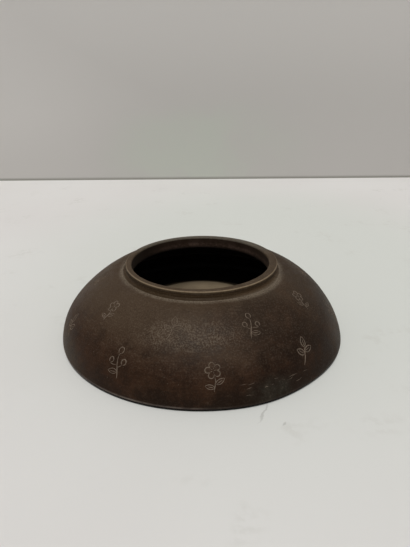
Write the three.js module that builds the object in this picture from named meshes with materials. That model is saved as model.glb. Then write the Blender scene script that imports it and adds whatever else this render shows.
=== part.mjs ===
// A low, domed water pot for a writing desk, in dark brown unglazed stoneware.
//
// The potter builds it from rolled clay: a round base slab, a curved wall luted on the slab's rim, a domed
// top slab luted on the wall, a low neck, a lip thread, and thin rolls of clay dressed into the corners.
// Each of those pieces is a solid of revolution about +Z. Millimetres, +Z up, the pot stands on z = 0.

import * as THREE from "three";

// Outside form of the dome, a quarter of a superellipse
const BELLY_RADIUS = 55; // the widest circle
const BELLY_HEIGHT = 0.4; // where the widest circle lies above the table
const DOME_RISE = 31.9; // from the widest circle to where the dome would close
const DOME_POWER = 1.9; // 2 is an ellipse, less is nearer to a cone

// Clay thickness
const WALL = 3.2; // wall and domed top slab
const BASE_THICKNESS = 3; // base slab at its rim

// Foot
const FOOT_CHAMFER_HEIGHT = 1.1; // the trimmed lower corner
const FOOT_CHAMFER_WIDTH = 0.6;
const STANDING_RING = 7; // width of the flat ring the pot stands on
const BASE_HOLLOW = 0.8; // depth of the hollowed underside
const HOLLOW_SLOPE = 1.5; // run of the slope into the hollow

// Joint between wall and domed top slab, and the roll that backs it inside
const SEAM_RADIUS = 46;
const SEAM_ROLL_HALF_WIDTH = 2.6; // to each side of the joint
const SEAM_ROLL_RISE = 0.9; // how far the roll stands out of the inner face

// Roll in the corner between floor and wall
const FLOOR_ROLL_LEG = 2.6;
const FLOOR_ROLL_HOLLOW = 0.55; // how far the dressed face sinks below a straight bevel

// Mouth
const MOUTH_RADIUS = 26.6;
const MOUTH_UNDERCUT = 1.1; // bevel on the lower inner edge of the domed slab
const LANDING_WIDTH = 7.1; // flat landing trimmed on the dome, from the mouth to where it would meet the dome
const LANDING_THICKNESS = 2.2; // clay left between the landing and the flat face under it
const NECK_THICKNESS = 2.5;
const NECK_HEIGHT = 2; // from the landing to the lip thread

// Lip thread
const LIP_HEIGHT = 1.1;
const LIP_OVERHANG = 0.15; // how far the thread stands out past the neck
const LIP_OUTER_ROUND = 0.35; // the worn edge that catches the light
const LIP_UNDER_ROUND = 0.15;
const LIP_INNER_ROUND = 0.6;

// Line dressed round the foot of the neck
const NECK_LINE_REACH = 2.2; // from the neck's face to the outer edge of the line
const NECK_LINE_HEIGHT = 0.3; // crest above the landing
const NECK_LINE_WIDTH = 0.9; // the raised line itself
const NECK_LINE_SWEEP = 144; // degrees of arc over the crest, before the hollow face begins
const NECK_COVE_RISE = 0.8; // where the dressed clay ends on the neck
const NECK_COVE_DEPTH = 0.25; // how far the hollow face sinks below a straight bevel

// Round stretches
const SEGMENTS = 64; // facets round the pot
const DOME_STEPS = 9; // facets up each half of the dome
const ROLL_STEPS = 3;
const ROUND_STEPS = 3; // facets round each small rounded corner
const COVE_STEPS = 4; // facets across each hollow face
const ROLL_FACE_STEPS = 6;
const EASE_STEPS = 3; // facets from the dome on to the landing

const CLAY_BROWN = 0x3a2f27;
const CLAY_WORN = 0x5f5447;
const CLAY_RAW = 0x6d6050;

const point = (radius, height) => new THREE.Vector2(radius, height);

// Height on a superellipse dome at a radius; inset moves the face inwards by the clay's thickness.
function domeHeight(radius, inset = 0) {
  const share = Math.min(1, radius / (BELLY_RADIUS - inset));
  return BELLY_HEIGHT + (DOME_RISE - inset) * (1 - share ** DOME_POWER) ** (1 / DOME_POWER);
}

// Radius on the same dome at a height.
function domeRadius(height, inset = 0) {
  const share = Math.min(1, Math.max(0, (height - BELLY_HEIGHT) / (DOME_RISE - inset)));
  return (BELLY_RADIUS - inset) * (1 - share ** DOME_POWER) ** (1 / DOME_POWER);
}

// Points up the dome, evenly spaced in the angle round its curve, both ends included.
function domeArc(from, to, inset, steps) {
  const turn = (p) => Math.atan2((p.y - BELLY_HEIGHT) / (DOME_RISE - inset), p.x / (BELLY_RADIUS - inset));
  const points = [from];
  for (let i = 1; i < steps; i++) {
    const angle = turn(from) + ((turn(to) - turn(from)) * i) / steps;
    const c = Math.cos(angle);
    const s = Math.sin(angle);
    const reach = (Math.abs(c) ** DOME_POWER + Math.abs(s) ** DOME_POWER) ** (-1 / DOME_POWER);
    points.push(point((BELLY_RADIUS - inset) * c * reach, BELLY_HEIGHT + (DOME_RISE - inset) * s * reach));
  }
  points.push(to);
  return points;
}

// A bowed line from one point to another; bow is its height in the middle, to the left of the way it runs.
function bowed(from, to, bow, steps) {
  const along = to.clone().sub(from);
  const side = point(-along.y, along.x).normalize();
  const points = [];
  for (let i = 1; i < steps; i++) {
    const t = i / steps;
    points.push(from.clone().addScaledVector(along, t).addScaledVector(side, bow * 4 * t * (1 - t)));
  }
  return points;
}

// Points shared by neighbouring pieces, so that each joint closes face to face
const floorOuter = point(domeRadius(BASE_THICKNESS), BASE_THICKNESS);
const floorInner = point(domeRadius(BASE_THICKNESS, WALL), BASE_THICKNESS);
const rollTopHeight = BASE_THICKNESS + FLOOR_ROLL_LEG;
const rollTop = point(domeRadius(rollTopHeight, WALL), rollTopHeight);
const rollToe = point(floorInner.x - FLOOR_ROLL_LEG, BASE_THICKNESS);

const seamOuter = point(SEAM_RADIUS, domeHeight(SEAM_RADIUS));
// The joint runs square through the clay, from the outer face to the inner one.
const seamInner = (() => {
  const step = 0.01;
  const slope = (domeHeight(SEAM_RADIUS + step) - domeHeight(SEAM_RADIUS - step)) / (2 * step);
  const inward = point(slope, -1).normalize().multiplyScalar(WALL);
  const radius = seamOuter.x + inward.x;
  return point(radius, domeHeight(radius, WALL));
})();
const seamRollLow = point(0, seamInner.y - SEAM_ROLL_HALF_WIDTH);
seamRollLow.x = domeRadius(seamRollLow.y, WALL);
const seamRollHigh = point(seamInner.x - SEAM_ROLL_HALF_WIDTH, 0);
seamRollHigh.y = domeHeight(seamRollHigh.x, WALL);

const landingRadius = MOUTH_RADIUS + LANDING_WIDTH;
const landingHeight = domeHeight(landingRadius);
const neckRadius = MOUTH_RADIUS + NECK_THICKNESS;
const neckFoot = point(neckRadius, landingHeight);
const coveTop = point(neckRadius, landingHeight + NECK_COVE_RISE);
const lineOuter = point(neckRadius + NECK_LINE_REACH, landingHeight);
const lipSeat = landingHeight + NECK_HEIGHT;
// The landing's outer corner is eased away from the line to as far beyond the corner.
const easeRadius = 2 * landingRadius - lineOuter.x;
const easeOuter = point(easeRadius, domeHeight(easeRadius));
const ceilingHeight = landingHeight - LANDING_THICKNESS;
const ceilingOuter = point(domeRadius(ceilingHeight, WALL), ceilingHeight);

const wallInside = [
  ...domeArc(floorInner, rollTop, WALL, ROLL_STEPS),
  ...domeArc(rollTop, seamRollLow, WALL, DOME_STEPS).slice(1),
  ...domeArc(seamRollLow, seamInner, WALL, ROLL_STEPS).slice(1),
];
const topInside = [
  ...domeArc(seamInner, seamRollHigh, WALL, ROLL_STEPS),
  ...domeArc(seamRollHigh, ceilingOuter, WALL, DOME_STEPS).slice(1),
  point(MOUTH_RADIUS + MOUTH_UNDERCUT, ceilingHeight),
  point(MOUTH_RADIUS, ceilingHeight + MOUTH_UNDERCUT),
];

// Base slab: flat floor inside, trimmed lower corner, hollowed underside.
function baseSlab() {
  const foot = BELLY_RADIUS - FOOT_CHAMFER_WIDTH;
  const hollow = foot - STANDING_RING;
  return [
    point(0, BASE_HOLLOW),
    point(hollow - HOLLOW_SLOPE, BASE_HOLLOW),
    point(hollow, 0),
    point(foot, 0),
    ...domeArc(point(domeRadius(FOOT_CHAMFER_HEIGHT), FOOT_CHAMFER_HEIGHT), floorOuter, 0, 2),
    floorInner,
    rollToe,
    point(0, BASE_THICKNESS),
  ];
}

// Curved wall: stands on the base slab's rim and ends in the bevelled joint.
function wall() {
  return [
    ...domeArc(floorOuter, seamOuter, 0, DOME_STEPS),
    ...wallInside.toReversed(),
    floorOuter,
  ];
}

// Domed top slab, with the mouth cut through it and a flat landing for the neck, eased into the dome.
function domedSlab() {
  const ease = new THREE.QuadraticBezierCurve(easeOuter, point(landingRadius, landingHeight), lineOuter);
  return [
    ...domeArc(seamOuter, easeOuter, 0, DOME_STEPS),
    ...ease.getPoints(EASE_STEPS).slice(1),
    neckFoot,
    point(MOUTH_RADIUS, landingHeight),
    ...topInside.toReversed(),
    seamOuter,
  ];
}

// Neck: an upright ring.
function neck() {
  return [
    point(MOUTH_RADIUS, landingHeight),
    neckFoot,
    coveTop,
    point(neckRadius, lipSeat),
    point(MOUTH_RADIUS, lipSeat),
    point(MOUTH_RADIUS, landingHeight),
  ];
}

// Points round a rounded corner between two upright or level faces, from one quarter turn to the next.
function roundedCorner(centre, radius, quarter) {
  const points = [];
  for (let i = 0; i <= ROUND_STEPS; i++) {
    const angle = (Math.PI / 2) * (quarter + i / ROUND_STEPS);
    points.push(point(centre.x + radius * Math.cos(angle), centre.y + radius * Math.sin(angle)));
  }
  return points;
}

// Lip thread: flat on top, with a crisp outer edge that stands a little out past the neck.
function lip() {
  const outer = neckRadius + LIP_OVERHANG;
  const top = lipSeat + LIP_HEIGHT;
  return [
    point(MOUTH_RADIUS, lipSeat),
    ...roundedCorner(point(outer - LIP_UNDER_ROUND, lipSeat + LIP_UNDER_ROUND), LIP_UNDER_ROUND, -1),
    ...roundedCorner(point(outer - LIP_OUTER_ROUND, top - LIP_OUTER_ROUND), LIP_OUTER_ROUND, 0),
    ...roundedCorner(point(MOUTH_RADIUS + LIP_INNER_ROUND, top - LIP_INNER_ROUND), LIP_INNER_ROUND, 1),
    point(MOUTH_RADIUS, lipSeat),
  ];
}

// Clay dressed round the neck's foot: a hollow face that ends in a fine raised line.
function neckLine() {
  const crestCentre = point(lineOuter.x - NECK_LINE_WIDTH / 2, landingHeight);
  const points = [neckFoot, lineOuter];
  for (let i = 1; i <= COVE_STEPS; i++) {
    const angle = THREE.MathUtils.degToRad((NECK_LINE_SWEEP * i) / COVE_STEPS);
    points.push(point(crestCentre.x + (NECK_LINE_WIDTH / 2) * Math.cos(angle),
      crestCentre.y + NECK_LINE_HEIGHT * Math.sin(angle)));
  }
  points.push(...bowed(points.at(-1), coveTop, NECK_COVE_DEPTH, COVE_STEPS), coveTop, neckFoot);
  return points;
}

// Roll pressed into the corner between floor and wall, with a hollow dressed face.
function floorRoll() {
  const back = domeArc(floorInner, rollTop, WALL, ROLL_STEPS);
  return [rollToe, ...back, ...bowed(rollTop, rollToe, FLOOR_ROLL_HOLLOW, COVE_STEPS), rollToe];
}

// Flat roll that backs the joint between wall and domed slab.
function seamRoll() {
  const back = [
    ...domeArc(seamRollLow, seamInner, WALL, ROLL_STEPS),
    ...domeArc(seamInner, seamRollHigh, WALL, ROLL_STEPS).slice(1),
  ];
  const chord = seamRollHigh.clone().sub(seamRollLow);
  const sag = Math.abs(chord.cross(seamInner.clone().sub(seamRollLow))) / chord.length();
  return [...back, ...bowed(seamRollHigh, seamRollLow, sag - SEAM_ROLL_RISE, ROLL_FACE_STEPS), seamRollLow];
}

// Revolves a profile of radius and height about +Z.
function turned(name, profile, colour, roughness) {
  const geometry = new THREE.LatheGeometry(profile, SEGMENTS).rotateX(Math.PI / 2);
  const material = new THREE.MeshStandardMaterial({ color: colour, roughness, metalness: 0 });
  const mesh = new THREE.Mesh(geometry, material);
  mesh.name = name;
  return mesh;
}

const pot = new THREE.Group();
pot.add(
  turned("base_slab", baseSlab(), CLAY_BROWN, 0.75),
  turned("body_wall", wall(), CLAY_BROWN, 0.7),
  turned("domed_top_slab", domedSlab(), CLAY_BROWN, 0.7),
  turned("neck_ring", neck(), CLAY_BROWN, 0.7),
  turned("lip_thread", lip(), CLAY_WORN, 0.55),
  turned("neck_line", neckLine(), CLAY_WORN, 0.75),
  turned("floor_corner_roll", floorRoll(), CLAY_RAW, 0.85),
  turned("seam_roll", seamRoll(), CLAY_RAW, 0.85),
);

export default pot;
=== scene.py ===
"""Desk water pot in dark unglazed stoneware, dressed for rendering.

Every surface is worked out with numpy from the pot's own sizes. Sizes are in millimetres until mesh_object()
turns them into metres, on the frame of the CAD model: +Z up, the pot standing on z = 0. An angle called
from_front is in degrees from the front, towards the right.
"""

import logging
import math
from dataclasses import dataclass
from enum import Enum
from functools import cached_property, reduce

import bpy
import numpy as np
from mathutils import Matrix, Vector
from mathutils.geometry import delaunay_2d_cdt

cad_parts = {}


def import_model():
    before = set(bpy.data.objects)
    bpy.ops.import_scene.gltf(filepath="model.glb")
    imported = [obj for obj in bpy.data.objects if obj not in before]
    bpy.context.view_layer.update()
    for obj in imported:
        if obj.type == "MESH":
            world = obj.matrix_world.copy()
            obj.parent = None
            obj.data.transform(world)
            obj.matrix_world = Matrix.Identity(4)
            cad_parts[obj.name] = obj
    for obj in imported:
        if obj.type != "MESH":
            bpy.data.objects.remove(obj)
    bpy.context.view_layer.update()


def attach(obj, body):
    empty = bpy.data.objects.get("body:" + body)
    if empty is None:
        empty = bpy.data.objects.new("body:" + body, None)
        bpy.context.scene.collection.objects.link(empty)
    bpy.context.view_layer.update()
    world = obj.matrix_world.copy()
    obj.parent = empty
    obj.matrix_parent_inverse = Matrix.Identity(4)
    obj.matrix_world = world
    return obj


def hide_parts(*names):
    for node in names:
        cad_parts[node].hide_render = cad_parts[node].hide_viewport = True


log = logging.getLogger("water_pot")

MM = 0.001
PHOTO_WIDTH = 410
PHOTO_HEIGHT = 547
TURNS = 240  # facets round the body
SHARP_FROM = math.radians(30.0)  # angle between two faces from which their edge shows as sharp
FRONT = -math.pi / 2  # angle of the side that the camera sees
SEAM_AT = math.radians(-166.0)  # where the unrolled skin starts, from the front, clear of the sprigs

Pair = tuple[float, float]
Triple = tuple[float, float, float]
Colour = tuple[float, float, float]
Lines = list[tuple[np.ndarray, float]]
Socket = bpy.types.NodeSocket


class Clay(Enum):
    """Material slots of the record."""

    BODY = "clay_body"
    WORN = "clay_worn"
    RAW = "clay_raw"


class Sprig(Enum):
    """The three sprigs that repeat round the pot."""

    BLOSSOM = "blossom"
    BUDS = "buds"
    LEAVES = "leaves"


# Form


def run_along(line: np.ndarray) -> np.ndarray:
    """Distance along a polyline at each of its points."""
    return np.concatenate([[0.0], np.cumsum(np.hypot(*np.diff(line, axis=0).T))])


def spaced(line: np.ndarray, step: float) -> np.ndarray:
    """Resamples a line so that its points lie a fixed distance apart, both ends kept.

    Args:
        line: points of a polyline, one per row.
        step: wanted distance between points.

    Returns:
        The resampled points.
    """
    run = run_along(line)
    at = np.linspace(0.0, run[-1], max(2, int(round(run[-1] / step)) + 1))
    return np.stack([np.interp(at, run, line[:, 0]), np.interp(at, run, line[:, 1])], axis=1)


@dataclass(frozen=True)
class Dome:
    """Outside form of the pot: a quarter of a superellipse turned about the upright axis."""

    radius: float = 55.0
    widest: float = 0.4
    rise: float = 31.9
    power: float = 1.9
    wall: float = 3.2
    rays: int = 2000

    def height(self, radius: float, inset: float = 0.0) -> float:
        """Height of a face: widest + rise * (1 - (r / R) ** n) ** (1 / n), rise and R less its inset."""
        share = min(1.0, max(0.0, radius / (self.radius - inset)))
        return self.widest + (self.rise - inset) * (1.0 - share**self.power) ** (1.0 / self.power)

    def reach(self, height: float, inset: float = 0.0) -> float:
        """Radius of a face at a height, the same formula the other way round."""
        share = min(1.0, max(0.0, (height - self.widest) / (self.rise - inset)))
        return (self.radius - inset) * (1.0 - share**self.power) ** (1.0 / self.power)

    def arc(self, start: Pair, end: Pair, inset: float, step: float) -> np.ndarray:
        """Points along the dome's meridian, a fixed distance apart, both ends included.

        On a ray at angle a, the unit curve lies at (|cos a| ** n + |sin a| ** n) ** (-1 / n).

        Args:
            start: radius and height of the first point.
            end: radius and height of the last point.
            inset: how far the face lies inside the outer one.
            step: distance between points.

        Returns:
            Rows of radius and height.
        """
        wide, high = self.radius - inset, self.rise - inset
        ends = [math.atan2((z - self.widest) / high, r / wide) for r, z in (start, end)]
        angle = np.linspace(*ends, self.rays)
        c, s = np.abs(np.cos(angle)), np.sin(angle)
        reach = (c**self.power + np.abs(s) ** self.power) ** (-1.0 / self.power)
        line = np.stack([wide * c * reach, self.widest + high * s * reach], axis=1)
        line[0], line[-1] = start, end
        return spaced(line, step)


def rounded(corners: list[Triple], step: float = 0.15) -> np.ndarray:
    """Profile whose corners are rounded by arcs that touch both sides.

    Args:
        corners: radius, height and rounding radius of each corner, in order round a closed profile.
        step: distance between points along the arcs.

    Returns:
        Profile points, without the first one repeated.
    """
    pts = np.array([c[:2] for c in corners], float)
    out: list[np.ndarray] = []
    beside = np.roll(pts, 1, axis=0), np.roll(pts, -1, axis=0)
    for here, before, after, (_, _, r) in zip(pts, *beside, corners):
        if r <= 0.0:
            out.append(here[None])
            continue
        a, b = before - here, after - here
        a, b = a / np.hypot(*a), b / np.hypot(*b)
        half = 0.5 * math.acos(float(np.clip(a @ b, -1.0, 1.0)))
        cut = r / math.tan(half)
        centre = here + (a + b) / np.hypot(*(a + b)) * (r / math.sin(half))
        p, q = here + a * cut - centre, here + b * cut - centre
        t0, t1 = math.atan2(p[1], p[0]), math.atan2(q[1], q[0])
        sweep = (t1 - t0 + math.pi) % (2.0 * math.pi) - math.pi
        t = t0 + np.linspace(0.0, sweep, max(3, int(abs(sweep) * r / step) + 2))
        out.append(centre + r * np.stack([np.cos(t), np.sin(t)], axis=1))
    return np.concatenate(out)


def bowed(start: Pair, end: Pair, bow: float, count: int = 10) -> np.ndarray:
    """Parabola from one point to another, both ends left out: it stands off by 4 * bow * t * (1 - t).

    Args:
        start: first point.
        end: last point.
        bow: height in the middle, to the left of the way it runs.
        count: steps along it.

    Returns:
        The points between the ends.
    """
    t = np.linspace(0.0, 1.0, count + 1)[1:-1, None]
    along = np.array(end) - np.array(start)
    side = np.array([-along[1], along[0]]) / np.hypot(*along)
    return np.array(start) + along * t + side * bow * 4.0 * t * (1.0 - t)


# The maker's hand


def share_of(value: np.ndarray, span: Pair) -> np.ndarray:
    """How far a value has come from the first end of a span to the second, 0 to 1."""
    return np.clip((value - span[0]) / (span[1] - span[0]), 0.0, 1.0)


def eased(value: np.ndarray, span: Pair) -> np.ndarray:
    """The same share t with soft ends, 3t^2 - 2t^3."""
    t = share_of(value, span)
    return t * t * (3.0 - 2.0 * t)


@dataclass(frozen=True)
class Bell:
    """Gentle swelling of the skin, or flattening where the amount is below 0, round one place."""

    amount: float
    from_front: float
    wide: float
    height: float = 0.0
    tall: float = math.inf

    def at(self, angle: np.ndarray, z: np.ndarray) -> np.ndarray:
        """Growth of the radius: amount * exp(-((z - height) / tall) ** 2) * exp(-(off / wide) ** 2).

        Args:
            angle: angle of each point round the axis, in radians.
            z: height of each point.

        Returns:
            The growth.
        """
        off = (angle - FRONT - math.radians(self.from_front) + math.pi) % (2.0 * math.pi) - math.pi
        up = np.exp(-(((z - self.height) / self.tall) ** 2))
        return self.amount * up * np.exp(-((off / math.radians(self.wide)) ** 2))


@dataclass(frozen=True)
class Ripple:
    """Faint long wave in the skin, which the eye sees as uneven burnishing."""

    amount: float
    waves: int
    climb: float
    start: float = 0.0

    def at(self, angle: np.ndarray, z: np.ndarray) -> np.ndarray:
        """Growth of the radius: amount * sin(waves * angle + z / climb + start)."""
        return self.amount * np.sin(self.waves * angle + z / self.climb + self.start)


@dataclass(frozen=True)
class Hand:
    """Small departures from a true circle that hand building leaves.

    A span holds the value at which an effect sets in and the one from which it is full.
    """

    right_flat: Bell = Bell(-0.5, 90.0, 46.0, 12.0, 7.0)
    left_flat: Bell = Bell(-0.4, -90.0, 46.0, 16.0, 5.0)
    right_foot: Bell = Bell(0.75, 62.0, 21.0, 1.0, 3.5)
    front_foot: Bell = Bell(0.6, 22.0, 14.0, 0.5, 2.5)
    left_foot: Bell = Bell(0.2, -48.0, 26.0, 1.0, 2.0)
    line_drawn_in: Bell = Bell(0.6, 95.0, 23.0)
    line_let_out: Bell = Bell(-0.55, 47.0, 18.0)
    ripples: tuple[Ripple, ...] = (
        Ripple(0.016, 4, 3.0),
        Ripple(0.0112, 7, -2.1, 1.0),
        Ripple(0.008, 11, 1.0),
    )
    line_pull: float = 0.35
    lean: float = 0.32
    mouth_shift: float = 0.5
    lip_dip: float = 0.35
    skin_radii: Pair = (31.0, 39.0)
    ripple_heights: Pair = (1.5, 4.5)
    line_inside: Pair = (29.2, 30.9)
    line_outside: Pair = (34.5, 31.4)
    line_heights: Pair = (24.0, 24.6)
    lean_heights: Pair = (12.0, 21.0)
    mouth_heights: Pair = (19.0, 23.0)
    mouth_radii: Pair = (29.0, 26.8)
    dip_heights: Pair = (24.9, 28.0)
    dip_radii: Pair = (30.4, 29.4)
    dip_to_back: Pair = (0.0, 29.0)

    def warp(self, xyz: np.ndarray) -> np.ndarray:
        """Swells and flattens the pot from place to place, leans its top, slides the mouth and dips the lip.

        The radius grows by the sum of the bells and of the ripples. The line round the neck's foot is drawn
        in a little, most at the right, and swells out at the right of the front.

        Args:
            xyz: points, one per row.

        Returns:
            The moved points.
        """
        x, y, z = xyz.T
        radius = np.maximum(np.hypot(x, y), 1e-6)
        angle = np.arctan2(y, x)
        bells = (self.right_flat, self.left_flat, self.right_foot, self.front_foot, self.left_foot)
        grow = sum(bell.at(angle, z) for bell in bells)
        grow = grow + sum(wave.at(angle, z) for wave in self.ripples) * share_of(z, self.ripple_heights)
        grow = grow * share_of(radius, self.skin_radii)
        pull = self.line_pull + self.line_drawn_in.at(angle, z) + self.line_let_out.at(angle, z)
        pull = pull * eased(radius, self.line_inside) * eased(radius, self.line_outside)
        grow -= pull * eased(z, self.line_heights)
        scale = 1.0 + grow / radius
        mouth = eased(share_of(z, self.mouth_heights) * share_of(radius, self.mouth_radii), (0.0, 1.0))
        slide = self.lean * share_of(z, self.lean_heights) - self.mouth_shift * mouth
        dip = share_of(z, self.dip_heights) * share_of(y, self.dip_to_back) * share_of(radius, self.dip_radii)
        return np.stack([x * scale + slide, y * scale, z - self.lip_dip * dip], axis=1)


HAND = Hand()


# Cut ornament

WIDE_CUT = 0.44
FINE_CUT = 0.3


@dataclass(frozen=True)
class Stroke:
    """One cut of the graver: its middle line, half its width along it, and how pale it shows."""

    line: np.ndarray
    half: np.ndarray
    pale: float

    def outline(self) -> tuple[np.ndarray, np.ndarray]:
        """Points that the skin needs along the cut, and the edges that join them.

        The sides lie half the width from the middle line, square to it, and a tip as far past each end.

        Returns:
            Points of the middle line, both sides and the two tips, and pairs of their numbers.
        """
        way = np.gradient(self.line, axis=0)
        way /= np.hypot(*way.T)[:, None]
        side = np.stack([-way[:, 1], way[:, 0]], axis=1) * self.half[:, None]
        tips = np.stack([self.line[0] - way[0] * self.half[0], self.line[-1] + way[-1] * self.half[-1]])
        points = np.concatenate([self.line, self.line + side, self.line - side, tips])
        n = len(self.line)
        along = np.arange(n - 1)
        edges = [np.stack([first + along, first + along + 1], axis=1) for first in (0, n, 2 * n)]
        ends = [[3 * n, k * n] for k in range(3)]
        ends += [[3 * n + 1, k * n + n - 1] for k in range(3)]
        return points, np.concatenate([*edges, np.array(ends)])


def stroke(points: np.ndarray, width: float, pale: float, taper: float = 0.6, step: float = 0.32) -> Stroke:
    """Makes a cut that starts fine, swells and ends fine.

    Half the width is width / 2 * (1 - taper * |2t - 1| ** 3), with t the share of the way along.

    Args:
        points: the middle line.
        width: widest width.
        pale: how pale the cut clay shows, 0 to 1.
        taper: how much finer the ends are.
        step: distance between points.

    Returns:
        The cut.
    """
    line = spaced(points, step)
    t = np.linspace(-1.0, 1.0, len(line))
    return Stroke(line, 0.5 * width * (1.0 - taper * np.abs(t) ** 3), pale)


def curve(*points: Pair | np.ndarray) -> np.ndarray:
    """Smooth line through control points: a Bezier curve of their degree.

    Args:
        points: control points.

    Returns:
        Points along the curve.
    """
    t = np.linspace(0.0, 1.0, 40)[:, None]
    n = len(points) - 1
    return sum(math.comb(n, k) * t**k * (1.0 - t) ** (n - k) * np.array(p) for k, p in enumerate(points))


def heading(angle: float) -> np.ndarray:
    """Unit step in a direction: (cos, sin)."""
    return np.array([math.cos(angle), math.sin(angle)])


def petal(centre: Pair, reach: float, facing: float) -> np.ndarray:
    """Rounded petal, open towards the middle of the flower.

    It is most of a circle of radius roundness * reach, with its middle at reach from the flower's.

    Args:
        centre: middle of the flower.
        reach: distance from there to the petal's own middle.
        facing: direction of the petal.

    Returns:
        Points along the petal.
    """
    half_sweep, roundness = 130.0, 0.54
    t = facing + np.radians(np.linspace(-half_sweep, half_sweep, 40))
    mid = np.array(centre) + reach * heading(facing)
    return mid + roundness * reach * np.stack([np.cos(t), np.sin(t)], axis=1)


def leaf(base: Pair, tip: Pair, belly: float, width: float = FINE_CUT) -> Lines:
    """Pointed leaf: two bowed edges and a midrib.

    An edge is drawn out to its side by two control points, the first one further out than the second.

    Args:
        base: where it grows from.
        tip: its point.
        belly: half its width.
        width: width of the edges' cuts.

    Returns:
        The three lines.
    """
    a, b = np.array(base), np.array(tip)
    way = b - a
    out = np.array([-way[1], way[0]]) / np.hypot(*way) * belly
    first, second, further = a + 0.3 * way, a + 0.75 * way, 1.7
    edges = [curve(base, first + s * out * further, second + s * out, tip) for s in (1, -1)]
    midrib = curve(a + 0.12 * way, a + 0.72 * way)
    return [(edge, width) for edge in edges] + [(midrib, FINE_CUT)]


def blossom() -> Lines:
    """Flower of five petals with a stamen between each two, on a bent stem with two leaves.

    Returns:
        The lines, each with the width of its cut.
    """
    centre, petals = (0.2, 1.45), 5
    step = [math.pi / 2 + 2 * math.pi * (k / 2) / petals for k in range(2 * petals)]
    out = [(petal(centre, 1.42, facing), WIDE_CUT) for facing in step[::2]]
    out += [(curve(centre + 0.22 * heading(a), centre + 0.8 * heading(a)), FINE_CUT) for a in step[1::2]]
    out.append((curve((0.15, -0.5), (0.2, -2.2), (-0.9, -2.9), (-1.1, -4.1)), WIDE_CUT))
    return out + leaf((-0.2, -2.35), (2.5, -1.55), 0.6) + leaf((-0.75, -3.1), (-3.0, -1.9), 0.55)


def buds() -> Lines:
    """Bent stem with three round buds, open at the bottom, on their stalks, and one leaf.

    Returns:
        The lines, each with the width of its cut.
    """
    out = [(curve((-1.9, -4.0), (-1.2, -1.5), (0.6, -0.6), (1.0, 2.2)), WIDE_CUT)]
    opening, stretch = 0.3, 1.15
    t = np.linspace(opening, 2 * math.pi - opening, 30) - math.pi / 2
    ring = np.stack([np.cos(t), stretch * np.sin(t)], axis=1)
    for x, y, r in ((1.1, 3.2, 0.85), (-1.7, 1.0, 0.75), (2.3, -0.5, 0.7)):
        out.append((np.array([x, y]) + r * ring, WIDE_CUT))
    out.append((curve((-0.55, -1.35), (-1.2, -0.8), (-1.6, 0.0)), FINE_CUT))
    out.append((curve((0.15, -0.9), (1.1, -1.5), (2.1, -1.5)), FINE_CUT))
    return out + leaf((-1.15, -2.4), (1.7, -3.6), 0.7)


def leaves() -> Lines:
    """Bent stem with three boldly cut leaves.

    Returns:
        The lines, each with the width of its cut.
    """
    out = [(curve((0.4, -4.1), (-0.3, -2.0), (0.1, 0.0), (-0.1, 1.0)), WIDE_CUT)]
    for base, tip, belly in (
        ((-0.1, 1.0), (0.5, 4.2), 0.85),
        ((-0.15, -0.2), (-3.0, 1.4), 0.8),
        ((0.0, -0.9), (3.0, 0.3), 0.8),
    ):
        out += leaf(base, tip, belly, WIDE_CUT)
    return out


# Each drawing is about 8 high and 6 wide, round its own middle
DRAWINGS = {Sprig.BLOSSOM: blossom, Sprig.BUDS: buds, Sprig.LEAVES: leaves}


@dataclass(frozen=True)
class OrnamentRow:
    """A row of cut sprigs round the unrolled skin, evenly spaced and leaning to and fro."""

    middle: float
    first: float
    size: float
    order: tuple[Sprig, ...]
    seed: int
    faint: float = 0.0
    faint_wide: float = 26.0
    count: int = 10
    tilt: float = 0.32
    chance_tilt: float = 0.07
    chance_along: float = 0.35
    chance_up: float = 0.25
    chance_line: float = 0.035
    widths: Pair = (0.9, 1.1)
    pales: Pair = (0.75, 1.0)

    def strokes(self, reference: float) -> list[Stroke]:
        """Cuts of the whole row, paler towards the front by faint * exp(-(from_front / faint_wide) ** 2).

        Args:
            reference: radius at which the skin is unrolled.

        Returns:
            The cuts, with x the run round the pot from the front and y the run up the skin.
        """
        rng = np.random.default_rng(self.seed)
        out: list[Stroke] = []
        start = math.degrees(SEAM_AT)
        for k in range(self.count):
            kind = self.order[k % len(self.order)]
            from_front = (self.first + 360.0 * k / self.count - start) % 360.0 + start
            flip = -1.0 if k % 2 else 1.0
            lean = self.tilt * flip + rng.normal(0.0, self.chance_tilt)
            shift, lift = rng.normal(0.0, self.chance_along), rng.normal(0.0, self.chance_up)
            c, s = heading(lean) * self.size
            turn = np.array([[c * flip, -s], [s * flip, c]])
            place = np.array([math.radians(from_front) * reference + shift, self.middle + lift])
            fading = self.faint * math.exp(-((from_front / self.faint_wide) ** 2))
            pale = float(rng.uniform(*self.pales) * (1.0 - fading))
            for line, width in DRAWINGS[kind]():
                wobble = rng.normal(0.0, self.chance_line, 2)
                out.append(stroke(line @ turn.T + place + wobble, width * rng.uniform(*self.widths), pale))
        return out


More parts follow.
